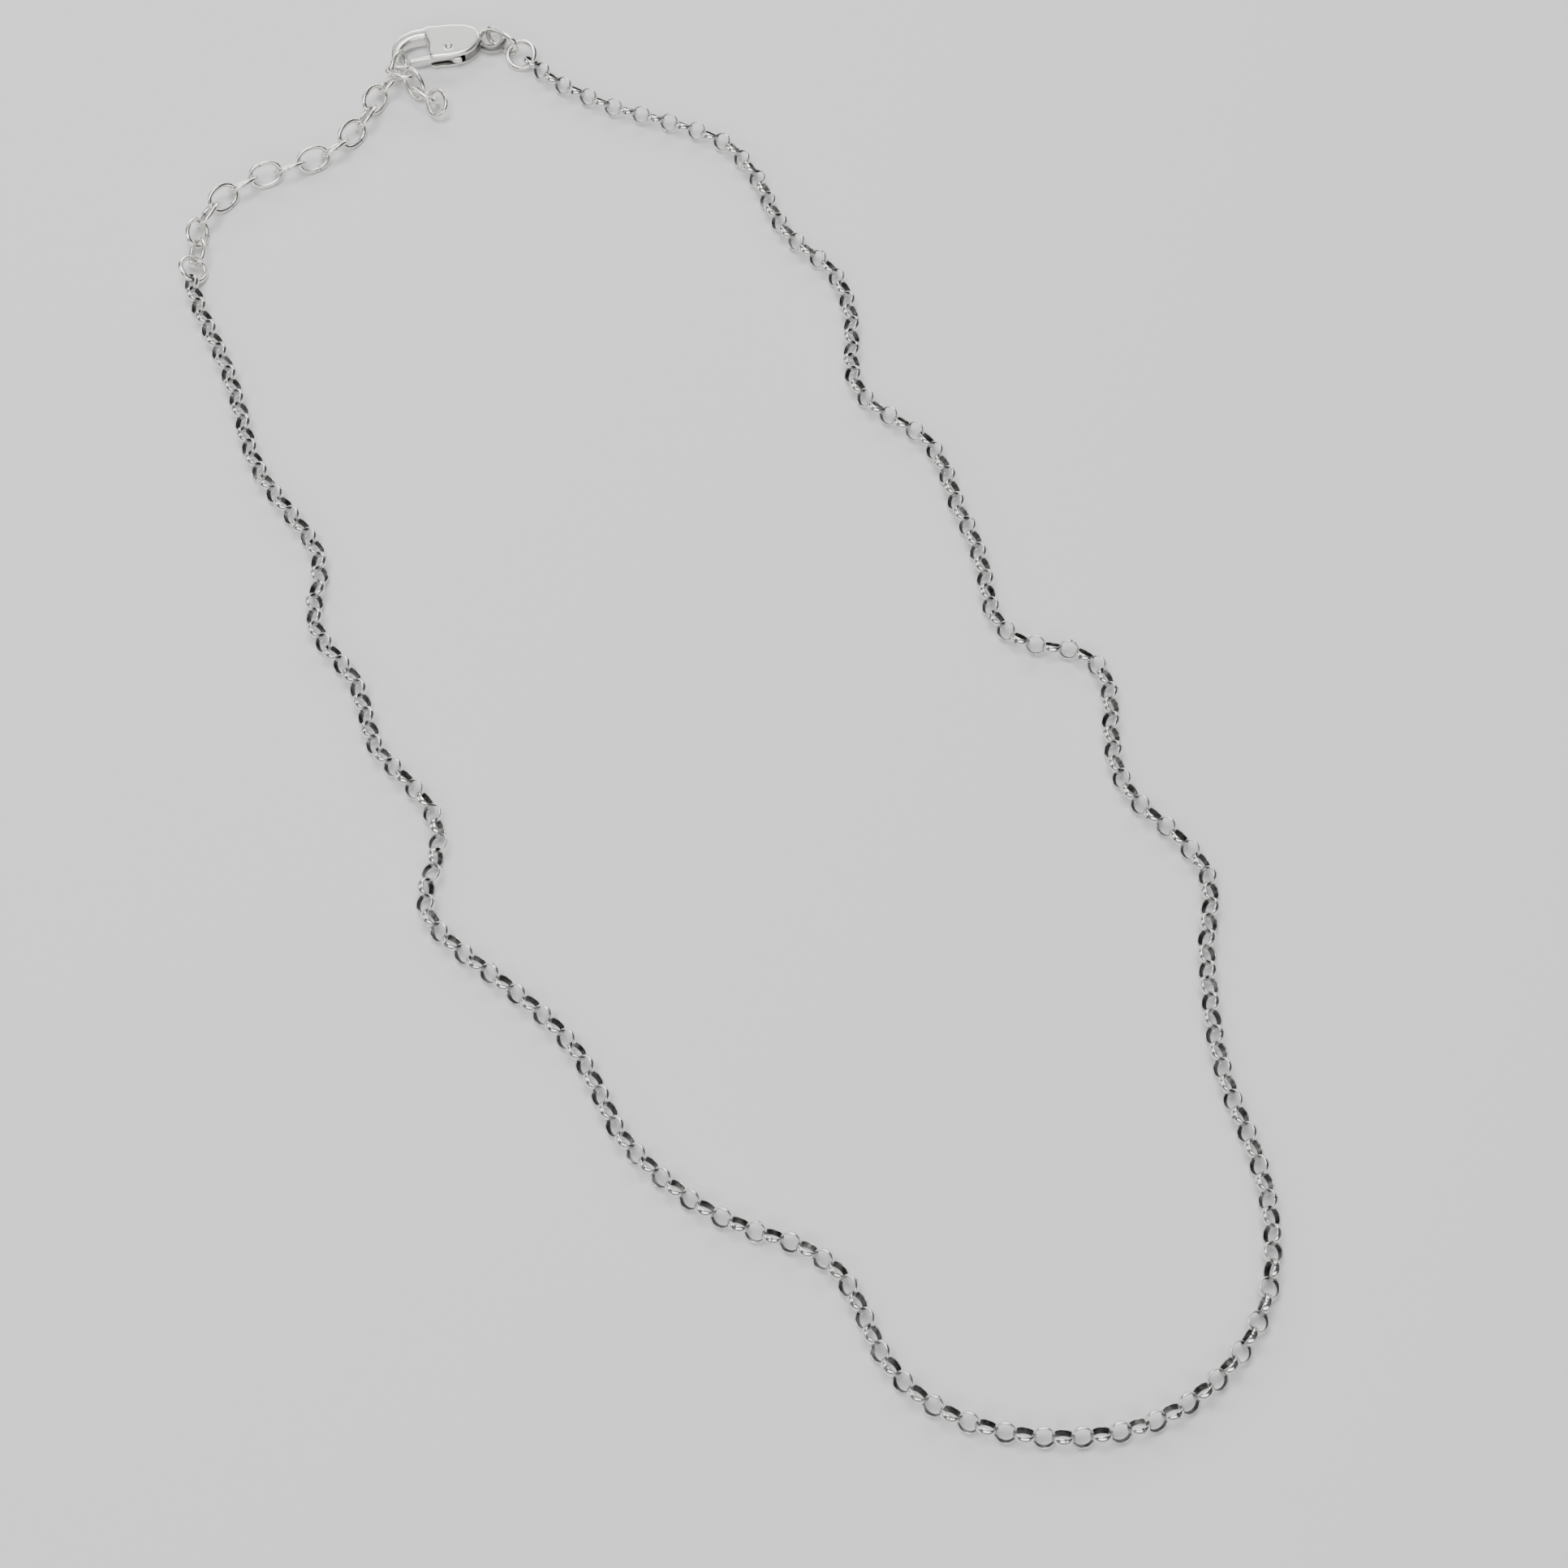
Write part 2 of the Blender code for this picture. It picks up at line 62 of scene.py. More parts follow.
# ---- jump rings: long one at the clasp, two round ones
JUMP_A_L = 5.60
JUMP_A_W = 3.90
JUMP_OD = 4.40
JUMP_WIRE = 0.72
JUMP_C_OD = 4.20
JUMP_C_WIRE = 0.70
RING_A = (-26.3, 98.1)
RING_B = (-23.65, 96.2)
RING_C = (-64.45, 59.1)
# ---- clasp
CLASP_AT = (-34.2, 98.05)
CLASP_TURN = 8.0
CLASP_T = 2.40
SLOT_LOW, SLOT_HIGH = 0.60, 1.80
LEVER_LOW, LEVER_HIGH = 0.70, 1.70
PIVOT = (0.55, -1.45)
PIN_R = 0.34

# Course of the main chain on the table, mm, from the clasp side round the
# front to the extension side.
ROUTE = [
    (-22.15, 94.85), (-18.7, 91.5), (-14.7, 89.0), (-11.0, 87.0), (-6.2, 85.3),
    (-2.6, 84.0), (1.2, 82.4), (4.6, 80.2), (7.1, 76.9), (9.0, 73.4),
    (10.4, 69.4), (12.3, 65.6), (15.0, 62.4), (18.0, 59.4), (19.8, 55.4),
    (20.6, 51.0), (20.6, 46.5), (20.8, 42.0), (22.8, 38.0), (26.2, 35.2),
    (29.8, 32.2), (32.0, 27.6), (33.4, 22.2), (35.2, 17.4), (36.3, 12.4),
    (37.0, 7.4), (39.0, 3.8), (42.6, 2.0), (46.4, 1.4), (49.4, -0.8),
    (50.6, -4.6), (50.5, -10.0), (51.0, -15.0), (53.2, -19.4), (57.2, -23.6),
    (60.2, -28.0), (60.5, -32.5), (59.7, -37.5), (59.6, -43.5), (59.9, -49.5),
    (61.0, -55.5), (62.7, -61.0), (64.0, -66.8), (64.2, -73.0), (63.1, -79.0),
    (60.4, -84.2), (56.4, -88.6), (51.4, -91.9), (45.5, -93.7), (38.5, -94.0),
    (31.6, -92.6), (26.0, -89.6), (22.3, -85.2), (20.1, -80.2), (17.6, -76.0),
    (13.4, -73.2), (8.2, -71.4), (3.0, -68.8), (-1.8, -65.0), (-5.8, -60.6),
    (-8.2, -55.8), (-10.8, -51.0), (-14.4, -46.8), (-19.0, -42.8),
    (-24.0, -38.8), (-27.6, -35.2), (-28.9, -31.6), (-28.2, -28.0),
    (-27.8, -24.2), (-29.0, -20.2), (-32.2, -16.2), (-35.8, -12.0),
    (-37.4, -7.4), (-39.0, -2.9), (-41.9, 0.9), (-44.1, 4.2), (-44.7, 8.0),
    (-44.4, 12.0), (-45.3, 16.2), (-48.6, 21.0), (-52.3, 26.2), (-54.7, 31.2),
    (-56.4, 37.0), (-58.6, 43.2), (-61.2, 49.0), (-63.4, 53.8), (-64.4, 57.0)]

# Course of the extension chain, from the front jump ring to the clasp hook.
EXT_COUNT = 13
EXT_FIT = 0.9985         # share of the course that the links take up
EXT_ROUTE = [(-64.2, 61.9), (-64.5, 65.2), (-63.5, 68.4), (-61.3, 71.6),
             (-58.2, 74.2), (-54.8, 75.8), (-50.6, 77.6), (-47.2, 80.2),
             (-44.8, 83.4), (-43.4, 86.6), (-42.7, 89.0), (-41.5, 91.1)]
# The hooked link: centre x and y, then heading and roll in degrees
HOOKED = (-40.06, 93.87, 74.0, -18.0)
# Free tail past the hooked link, bunched: centre x, y, z, then heading, roll
# and tilt in degrees
TAIL = [(-39.55, 91.9, 2.50, -27.5, 65.0, 7.0),
        (-37.8, 90.5, 1.86, -57.0, -28.5, -30.0),
        (-36.3, 88.9, 1.42, -38.0, 39.0, -3.0),
        (-34.6, 87.5, 1.38, -69.0, -52.5, 0.5)]
# Links in each one-piece run of the main chain, from the clasp side.
RUNS = ([7, 7, 8, 7, 7, 8, 7, 7, 8, 7, 7, 8, 7, 7, 8, 7]   # clasp side
        + [9]                                              # front
        + [8, 8, 8, 8, 8, 8, 8, 8, 8, 8, 8, 7])            # extension side
# Where the chain rolls over: (share of its length, degrees of extra roll)
ROLLS = [(0.0, 0), (0.07, 0), (0.085, -12), (0.10, 0), (0.36, 0), (0.40, 10),
         (0.43, 0), (0.465, 4), (0.485, 34), (0.50, 26), (0.52, 2), (0.76, 0),
         (0.785, 24), (0.80, 20), (0.82, 0), (1.0, 0)]


def curve(a, b, c, d, t):
    """The point at t on a smooth curve from b to c, with a and d beside."""
    return 0.5 * ((2 * b) + (c - a) * t
                  + (2 * a - 5 * b + 4 * c - d) * t * t
                  + (3 * b - a - 3 * c + d) * t ** 3)


def with_ends(p):
    """The points with one more at each end, in line with the last two."""
    return [p[0] * 2 - p[1]] + p + [p[-1] * 2 - p[-2]]


def spline(pts, n=24):
    p = with_ends([Vector((x, y, 0.0)) for x, y in pts])
    out = []
    for i in range(1, len(p) - 2):
        out += [curve(*p[i - 1:i + 3], k / n) for k in range(n)]
    out.append(p[-2].copy())
    return out


def walk(line, gaps):
    """Points on the line whose straight distances are the given gaps."""
    at = [line[0].copy()]
    i = 0
    for g in gaps:
        last = at[-1]
        while i < len(line) - 1 and (line[i + 1] - last).length < g:
            i += 1
        if i >= len(line) - 1:
            d = (line[-1] - line[-2]).normalized()
            at.append(last + d * g)
            continue
        a, b = line[i], line[i + 1]
        lo, hi = 0.0, 1.0
        for _ in range(30):
            m = (lo + hi) / 2
            if ((a.lerp(b, m)) - last).length < g:
                lo = m
            else:
                hi = m
        at.append(a.lerp(b, (lo + hi) / 2))
    return at


def headings(at):
    """The direction of the chain at each point."""
    out = []
    for i in range(len(at)):
        a = at[max(i - 1, 0)]
        b = at[min(i + 1, len(at) - 1)]
        out.append((b - a).normalized())
    return out


def facing(deg):
    a = math.radians(deg)
    return Vector((math.cos(a), math.sin(a), 0))


def matrix_of(along, across, axis, at):
    m = Matrix.Identity(4)
    for k, v in enumerate((along, across, axis)):
        m[0][k], m[1][k], m[2][k] = v
    m[0][3], m[1][3], m[2][3] = at
    return m


def frame_of(centre, along, roll, width_half, thick):
    """Link matrix: x along the chain, y across in the link's plane, z its
    axis. The centre height lets the link touch the table."""
    n = Vector((-along.y, along.x, 0.0)).normalized()
    r = math.radians(roll)
    axis = n * math.cos(r) + Vector((0, 0, 1)) * math.sin(r)
    across = axis.cross(along)
    z = width_half * abs(across.z) + thick
    return matrix_of(along, across, axis, (centre.x, centre.y, z))


def extra_roll(share):
    """Degrees of roll added where the chain rolls over, from ROLLS."""
    for (a, ra), (b, rb) in zip(ROLLS, ROLLS[1:]):
        if a <= share <= b:
            return ra + (rb - ra) * (share - a) / (b - a)
    return 0.0


# --------------------------------------------------------------- placement
# The solid's link has SEGS sides, and EVEN gives it a round one's area.
FLAT = math.cos(math.pi / SEGS)
EVEN = math.sqrt(2 * math.pi / (SEGS * math.sin(2 * math.pi / SEGS)))
R_OUT = LINK_OD / 2 * EVEN
REACH = 1.04             # centre height of a link on edge, in flat radii
LEAN = 45.0              # links lean this way and that way by turns
FOLLOW = 0.7             # how much a low link rises to its neighbours
total = sum(RUNS)
gaps = []
for n_run, n in enumerate(RUNS):
    gaps += [LINK_PITCH] * (n - 1)
    if n_run < len(RUNS) - 1:
        gaps.append(JOINT_PITCH)
centres = walk(spline(ROUTE), gaps)
link_mats = []
for i, (c, t) in enumerate(zip(centres, headings(centres))):
    roll = (LEAN if i % 2 == 0 else -LEAN) + extra_roll(i / (total - 1))
    m = frame_of(c, t, roll, R_OUT * FLAT * REACH, 0.0)
    m[2][3] += LINK_WIDTH / 2 * abs(m[2][2])
    link_mats.append(m)
rest = [m[2][3] for m in link_mats]
for i in range(1, total - 1):
    lift = (rest[i - 1] + rest[i + 1]) / 2 - rest[i]
    link_mats[i][2][3] = rest[i] + FOLLOW * max(0.0, lift)

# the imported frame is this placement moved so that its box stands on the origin
node_lo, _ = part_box("chain_run_01")


def placed_low(mats):
    """Lowest corner of the solids' links at the given places."""
    r_in = (LINK_OD / 2 - LINK_WALL) * EVEN
    lo = Vector((1e9, 1e9, 1e9))
    for m in mats:
        for k in range(SEGS):
            a = math.pi / SEGS + 2 * math.pi * k / SEGS
            for r in (r_in, R_OUT):
                for s in (-0.5, 0.5):
                    p = m @ Vector((r * math.cos(a), r * math.sin(a),
                                    s * LINK_WIDTH))
                    lo = Vector(map(min, lo, p))
    return lo


SHIFT = node_lo / MM - placed_low(link_mats[:RUNS[0]])
MOVE = Matrix.Translation(SHIFT)
link_mats = [MOVE @ m for m in link_mats]

# --------------------------------------------------------------- materials
TONE = "tone"            # 0 polished .. 1 blackened, by patina in some places and by painted shade in others
TONE_BRIGHT, TONE_MID, TONE_DARK = 0.16, 0.55, 0.92
MID_BRIGHT = 0.30        # share of the bright colour half-way
GRAIN_SPREAD = 0.5       # how far the grain moves the tone, from end to end
GRAIN_DETAIL = 4.0
BUMP_DEPTH = 0.00002     # m


def silver(name, bright, dark, rough, dark_rough, grain=900.0, bump=0.05):
    """Silver that goes from bright to dark with the mesh's tone, which holds
    patina and painted shade.
    """
    mat = bpy.data.materials.new(name)
    mat.use_nodes = True
    nt = mat.node_tree
    b = nt.nodes["Principled BSDF"]
    b.inputs["Metallic"].default_value = 1.0
    att = nt.nodes.new("ShaderNodeAttribute")
    att.attribute_name = TONE
    coord = nt.nodes.new("ShaderNodeTexCoord")
    noise = nt.nodes.new("ShaderNodeTexNoise")
    noise.inputs["Scale"].default_value = grain
    noise.inputs["Detail"].default_value = GRAIN_DETAIL
    nt.links.new(coord.outputs["Object"], noise.inputs["Vector"])
    mul = nt.nodes.new("ShaderNodeMath")
    mul.operation = 'MULTIPLY_ADD'
    nt.links.new(noise.outputs["Fac"], mul.inputs[0])
    mul.inputs[1].default_value = GRAIN_SPREAD
    mul.inputs[2].default_value = -GRAIN_SPREAD / 2
    add = nt.nodes.new("ShaderNodeMath")
    add.operation = 'ADD'
    add.use_clamp = True
    nt.links.new(att.outputs["Fac"], add.inputs[0])
    nt.links.new(mul.outputs[0], add.inputs[1])
    ramp = nt.nodes.new("ShaderNodeValToRGB")
    e = ramp.color_ramp.elements
    e[0].position, e[0].color = TONE_BRIGHT, (*bright, 1)
    e[1].position, e[1].color = TONE_DARK, (*dark, 1)
    mid = e.new(TONE_MID)
    mid.color = (*[MID_BRIGHT * x + (1 - MID_BRIGHT) * y
                   for x, y in zip(bright, dark)], 1)
    nt.links.new(add.outputs[0], ramp.inputs["Fac"])
    nt.links.new(ramp.outputs["Color"], b.inputs["Base Color"])
    rr = nt.nodes.new("ShaderNodeMapRange")
    rr.inputs["To Min"].default_value = rough
    rr.inputs["To Max"].default_value = dark_rough
    nt.links.new(add.outputs[0], rr.inputs["Value"])
    nt.links.new(rr.outputs["Result"], b.inputs["Roughness"])
    grained = nt.nodes.new("ShaderNodeBump")
    grained.inputs["Strength"].default_value = bump
    grained.inputs["Distance"].default_value = BUMP_DEPTH
    nt.links.new(noise.outputs["Fac"], grained.inputs["Height"])
    nt.links.new(grained.outputs["Normal"], b.inputs["Normal"])
    return mat


OXIDISED = silver("oxidised_silver", (0.84, 0.83, 0.81), (0.020, 0.019, 0.018),
                  0.25, 0.50)
BRIGHT_METAL = silver("bright_silver", (0.85, 0.835, 0.79),
                      (0.045, 0.042, 0.036), 0.26, 0.45)
CLASP_METAL = silver("clasp_silver", (0.88, 0.87, 0.84), (0.06, 0.056, 0.05),
                     0.30, 0.45, 500.0, 0.04)


def new_object(name, verts, faces):
    me = bpy.data.meshes.new(name)
    me.from_pydata(verts, [], faces)
    bm = bmesh.new()
    bm.from_mesh(me)
    bmesh.ops.recalc_face_normals(bm, faces=bm.faces)
    bm.to_mesh(me)
    bm.free()
    ob = bpy.data.objects.new(name, me)
    bpy.context.scene.collection.objects.link(ob)
    return ob


def finish_surface(me, tones, mat):
    at = me.attributes.new(TONE, 'FLOAT', 'POINT')
    at.data.foreach_set("value", tones)
    for p in me.polygons:
        p.use_smooth = True
    me.materials.clear()
    me.materials.append(mat)


def ring_faces(rows, sides):
    """Faces of a tube of rows of points that closes on itself."""
    faces = []
    for k in range(rows):
        k2 = (k + 1) % rows
        for j in range(sides):
            j2 = (j + 1) % sides
            faces.append((k * sides + j, k2 * sides + j, k2 * sides + j2,
                          k * sides + j2))
    return faces


def near_angle(a, centre, half):
    """1 at the angle centre, falling to 0 at half radians from it."""
    d = abs((a - centre + math.pi) % (2 * math.pi) - math.pi)
    return max(0.0, 1 - d / half)


class Build:
    """Collects rings into one mesh with a tone value at every vertex."""

    def __init__(self):
        self.v, self.f, self.t = [], [], []

    def add(self, verts, faces, tones):
        base = len(self.v)
        self.v += [tuple(p * MM) for p in verts]
        self.f += [tuple(base + i for i in f) for f in faces]
        self.t += tones

    def finish(self, name, mat, body, nodes):
        ob = new_object(name, self.v, self.f)
        finish_surface(ob.data, self.t, mat)
        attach(ob, body)
        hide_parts(*nodes)


# ---- profile of the main link's band, half round: (radius, across, tone)
B_R, B_WALL, B_W = 1.25, 0.225, 0.82
CROWN = 0.165            # radius of the rounded outside
INSIDE, INSIDE_TONE = 0.31, 0.84
EDGE_IN, EDGE, EDGE_TONE = 0.024, 0.37, 0.42
CROWN_HALF, CROWN_STEP = 3, 25      # steps each side of the top, and degrees
CROWN_TONE = 0.26        # at the crown's two ends
BAND = [(B_R - B_WALL, -INSIDE, INSIDE_TONE),
        (B_R - B_WALL, INSIDE, INSIDE_TONE),
        (B_R - B_WALL + EDGE_IN, EDGE, EDGE_TONE)]
for k in range(-CROWN_HALF, CROWN_HALF + 1):
    g = math.radians(CROWN_STEP * k)
    BAND.append((B_R - CROWN + CROWN * math.cos(g), -B_W / 2 * math.sin(g),
                 CROWN_TONE * abs(k / CROWN_HALF) ** 3))
BAND.append((B_R - B_WALL + EDGE_IN, -EDGE, EDGE_TONE))
AROUND = 34
SEAM_HALF = 0.13         # radians
SEAM_DEEP = 0.035
SLIM_WALL = 0.045        # taken off the inside of a slim link
SLIM_WIDTH = 0.90
IN_NEXT = 0.80           # cosine past which a link lies inside the next one
OUTER = B_R - 0.14       # from here out it is the band's outside
# The first value darkens the band's outside where it lies inside the next link:
# patina and painted shade between the links. The other two darken the soldered
# seam.
IN_NEXT_PATINA_SHADE, SEAM_TONE, SEAM_TONE_FAR = 0.55, 0.85, 0.35
WORN_WIDE, WORN_NARROW = 0.30, 0.16     # tone lost at two polished places


def band_ring(b, m, rnd, seam_up, slim):
    """One link. The soldered seam is a small dark dent across the band. A
    slim link is the end of a run, with room to turn in the next one."""
    seam = math.pi / 2 * seam_up + rnd.uniform(-0.10, 0.10)
    wide, narrow = (rnd.uniform(0, 2 * math.pi) for _ in range(2))
    verts, tones = [], []
    for k in range(AROUND):
        a = 2 * math.pi * k / AROUND
        ca, sa = math.cos(a), math.sin(a)
        inside_next = max(0.0, abs(ca) - IN_NEXT) / (1 - IN_NEXT)
        dent = near_angle(a, seam, SEAM_HALF)
        for r, s, tone in BAND:
            outer = r > OUTER
            side = abs(s) / (B_W / 2)
            if outer:
                # patina and painted shade where the band passes through the next
                # link
                tone += IN_NEXT_PATINA_SHADE * inside_next * (0.55 + 0.45 * side)
                tone += dent * (SEAM_TONE if s < 0.1 else SEAM_TONE_FAR)
            else:
                tone -= WORN_WIDE * max(0, math.cos(a - wide)) ** 6
                tone -= WORN_NARROW * max(0, math.cos(a - narrow)) ** 10
            r2 = r - (SEAM_DEEP * dent if outer else 0)
            if slim:
                r2 += SLIM_WALL * (B_R - r) / B_WALL
                s *= SLIM_WIDTH
            verts.append(m @ Vector((r2 * ca, r2 * sa, s)))
            tones.append(min(1.0, max(0.0, tone)))
    b.add(verts, ring_faces(AROUND, len(BAND)), tones)


WIRE_AROUND, WIRE_SIDES = 44, 12
CUT_HALF = 0.10          # radians
CUT_THIN = 0.10          # share of the wire lost where its ends meet
END_COS = 0.86           # cosine past which a link's end is darker inside
# The first value darkens the wire's inner side, most at the link's ends where
# the next link rests: patina and painted shade.
INNER_PATINA_SHADE, CUT_TONE = 0.42, 0.6


def wire_ring(b, m, long, wide, wire, power, base, cut):
    """An oval or round link of round wire. cut is where its ends meet."""
    hl, hw, wr = (long - wire) / 2, (wide - wire) / 2, wire / 2
    mid = []
    for k in range(WIRE_AROUND):
        a = 2 * math.pi * k / WIRE_AROUND
        c, s = math.cos(a), math.sin(a)
        mid.append(Vector((hl * math.copysign(abs(c) ** (2 / power), c),
                           hw * math.copysign(abs(s) ** (2 / power), s), 0)))
    verts, tones = [], []
    for k in range(WIRE_AROUND):
        a = 2 * math.pi * k / WIRE_AROUND
        t = (mid[(k + 1) % WIRE_AROUND] - mid[k - 1]).normalized()
        out = Vector((t.y, -t.x, 0))
        end = max(0.0, abs(math.cos(a)) - END_COS) / (1 - END_COS)
        dent = near_angle(a, cut, CUT_HALF)
        rr = wr * (1 - CUT_THIN * dent)
        for j in range(WIRE_SIDES):
            g = 2 * math.pi * j / WIRE_SIDES
            verts.append(m @ (mid[k] + out * (rr * math.cos(g))
                              + Vector((0, 0, rr * math.sin(g)))))
            # patina and painted shade on the wire's inner side, strongest at the
            # link's ends
            inner = max(0.0, -math.cos(g))
            tones.append(min(1.0, base + CUT_TONE * dent
                             + INNER_PATINA_SHADE * inner * (0.4 + 0.6 * end)))
    b.add(verts, ring_faces(WIRE_AROUND, WIRE_SIDES), tones)


body_of = {}
for name, members in frame["record"]["behaviour"]["bodies"].items():
    for node in members:
        body_of[node] = name

# ----------------------------------------------------------- the main chain
# Links that stand broadside to this direction turn their seam to it, and the
# others turn it away, apart from a share of them.
SEEN_FROM = Vector((0.0, -0.485, 0.875))
BROADSIDE = 0.6
SEAM_TURNED = 0.2
start = 0
for k, n in enumerate(RUNS):
    node = "chain_run_%02d" % (k + 1)
    b = Build()
    for i in range(start, start + n):
        rnd = random.Random(1000 + i)
        side = (link_mats[i].to_3x3() @ Vector((0, 1, 0))).dot(SEEN_FROM)
        up = 1 if side > BROADSIDE or -BROADSIDE < side < 0 else -1
        if rnd.random() < SEAM_TURNED:
            up = -up
        band_ring(b, link_mats[i], rnd, up, i in (start, start + n - 1))
    b.finish("links_%02d" % (k + 1), OXIDISED, body_of[node], [node])
    start += n


# ---------------------------------------------- extension chain, jump rings
FULLER = 0.02            # the wire shown is this much thicker than the solid's
OVAL_POWER = 2.3         # 2 is an ellipse, and more is squarer
OVAL_CUTS = (1.45, 4.6)
RING_CUT = 2.2
OVAL_TONE, RING_TONE = 0.02, 0.0


def oval_piece(node, m, seed):
    b = Build()
    wire_ring(b, MOVE @ m, OVAL_L, OVAL_W, OVAL_WIRE + FULLER, OVAL_POWER,
              OVAL_TONE, random.Random(seed).choice(OVAL_CUTS))
    b.finish(node.replace("_link", "_oval"), BRIGHT_METAL, body_of[node],
             [node])


def ring_piece(node, at, heading, roll, long, wide, wire, power):
    b = Build()
    m = frame_of(Vector((*at, 0)), facing(heading), roll, (wide - wire) / 2,
                 wire / 2)
    wire_ring(b, MOVE @ m, long, wide, wire + FULLER, power,
              RING_TONE, RING_CUT)
    b.finish(node.replace("jump_", "round_"), BRIGHT_METAL, body_of[node],
             [node])


ring_piece("jump_ring_a", RING_A, -35.0, 0.0, JUMP_A_L, JUMP_A_W, JUMP_WIRE,
           2.8)
ring_piece("jump_ring_b", RING_B, -18.5, -59.0, JUMP_OD, JUMP_OD, JUMP_WIRE,
           2.0)
ring_piece("jump_ring_c", RING_C, 90.5, -53.0, JUMP_C_OD, JUMP_C_OD,
           JUMP_C_WIRE, 2.0)

ext_line = spline(EXT_ROUTE)
length = sum((b - a).length for a, b in zip(ext_line, ext_line[1:]))
gap = length * EXT_FIT / (EXT_COUNT - 1)
ext_at = walk(ext_line, [gap] * (EXT_COUNT - 1))
last_roll = -LEAN if total % 2 == 1 else LEAN
OVAL_HALF = (OVAL_W - OVAL_WIRE) / 2
for i, (c, t) in enumerate(zip(ext_at, headings(ext_at))):
    roll = -last_roll if i % 2 == 0 else last_roll
    oval_piece("ext_link_%02d" % (i + 1),
               frame_of(c, t, roll, OVAL_HALF, OVAL_WIRE / 2), 30 + i)
oval_piece("ext_link_hooked",
           frame_of(Vector((HOOKED[0], HOOKED[1], 0)), facing(HOOKED[2]),
                    HOOKED[3], OVAL_HALF, OVAL_WIRE / 2), 50)
for i, (x, y, z, head, roll, tilt) in enumerate(TAIL):
    flat = facing(head)
    q, r = math.radians(tilt), math.radians(roll)
    along = flat * math.cos(q) + Vector((0, 0, math.sin(q)))
    n = Vector((-flat.y, flat.x, 0))
    axis = n * math.cos(r) + along.cross(n) * math.sin(r)
    oval_piece("tail_link_%d" % (i + 1),
               matrix_of(along, axis.cross(along), axis, (x, y, z)), 60 + i)

# ------------------------------------------------------------------- clasp
# Drawn in its own frame: x runs from the hook to the eye, z up from its back.
CM = (MOVE @ Matrix.Translation(Vector((CLASP_AT[0], CLASP_AT[1], 0)))
      @ Matrix.Rotation(math.radians(CLASP_TURN), 4, 'Z'))
BODY_OUTLINE = [(-2.50, 0.80), (-2.15, -0.60), (-2.05, -2.85), (-0.60, -3.08),
                (1.20, -3.06), (2.75, -2.72), (3.85, -2.02), (4.65, -1.05),
                (4.98, 0.20), (4.70, 1.45), (3.90, 2.15), (2.80, 2.58),
                (1.20, 2.80), (-0.80, 2.82), (-2.50, 2.74)]
# The hook's course from its root to its tip: x, y, half width, half height
HOOK = [(-1.2, 1.80, 1.02, 1.18), (-2.7, 1.84, 1.02, 1.15),
        (-4.0, 1.72, 1.00, 1.08), (-5.05, 1.34, 0.96, 0.98),
        (-5.90, 0.70, 0.88, 0.85), (-6.45, -0.20, 0.72, 0.70),
        (-6.78, -1.20, 0.54, 0.58), (-6.75, -2.15, 0.44, 0.51),
        (-6.40, -2.95, 0.40, 0.46), (-5.80, -3.45, 0.36, 0.42),
        (-5.10, -3.60, 0.30, 0.36)]
EYE = (6.45, 0.25)
EYE_R, EYE_HALF_WIDE, EYE_HALF_HIGH = 1.70, 0.43, 0.44
BODY_ROUND, LEVER_ROUND, PIN_ROUND = 0.42, 0.22, 0.12
PIN_LOW, PIN_HIGH = 0.02, 2.39
BORE_CLEAR = 0.05
BORE_LOW, BORE_HIGH = -1.0, 3.5     # the boring tool goes right through
SHARP = 0.01             # rounding of a cutting tool, next to none
MELT_SIZE, MELT_PASSES, MELT_SOFT = 0.11, 5, 0.5
MITRE = 0.4              # keeps an inset corner from running far out
HOOK_POWER = 0.62        # 1 is an oval section, and less is squarer
SLOT = [(-3.2, -0.95), (-0.30, -0.35), (0.20, -0.25), (1.10, -0.33),
        (1.75, -0.80), (2.25, -1.40), (2.90, -3.8), (-3.2, -3.8)]
LEVER_OUTLINE = [(-5.00, -2.55), (-4.86, -2.90), (-4.20, -2.88),
                 (-2.80, -2.76), (-1.20, -2.62), (0.30, -2.58),
                 (1.10, -3.10), (1.85, -3.25), (2.15, -2.90), (1.85, -2.25),
                 (1.45, -1.50), (1.15, -0.90), (0.55, -0.60), (0.00, -0.76),
                 (-0.60, -1.30), (-1.60, -1.75), (-3.20, -2.08),
                 (-4.72, -2.28)]


def loop(pts, n=5):
    """A closed smooth curve through the outline's corners."""
    c = [Vector(p) for p in pts]
    out = []
    for i in range(len(c)):
        near = (c[i - 1], c[i], c[(i + 1) % len(c)], c[(i + 2) % len(c)])
        out += [curve(*near, k / n) for k in range(n)]
    return out


def inset(pts, d):
    """The closed outline moved in by d."""
    out = []
    n = len(pts)
    for i in range(n):
        e1 = (pts[i] - pts[i - 1]).normalized()
        e2 = (pts[(i + 1) % n] - pts[i]).normalized()
        nn = Vector((-e1.y - e2.y, e1.x + e2.x))
        nn = nn / max(nn.length_squared / 2, MITRE)
        out.append(pts[i] + nn * d)
    return out


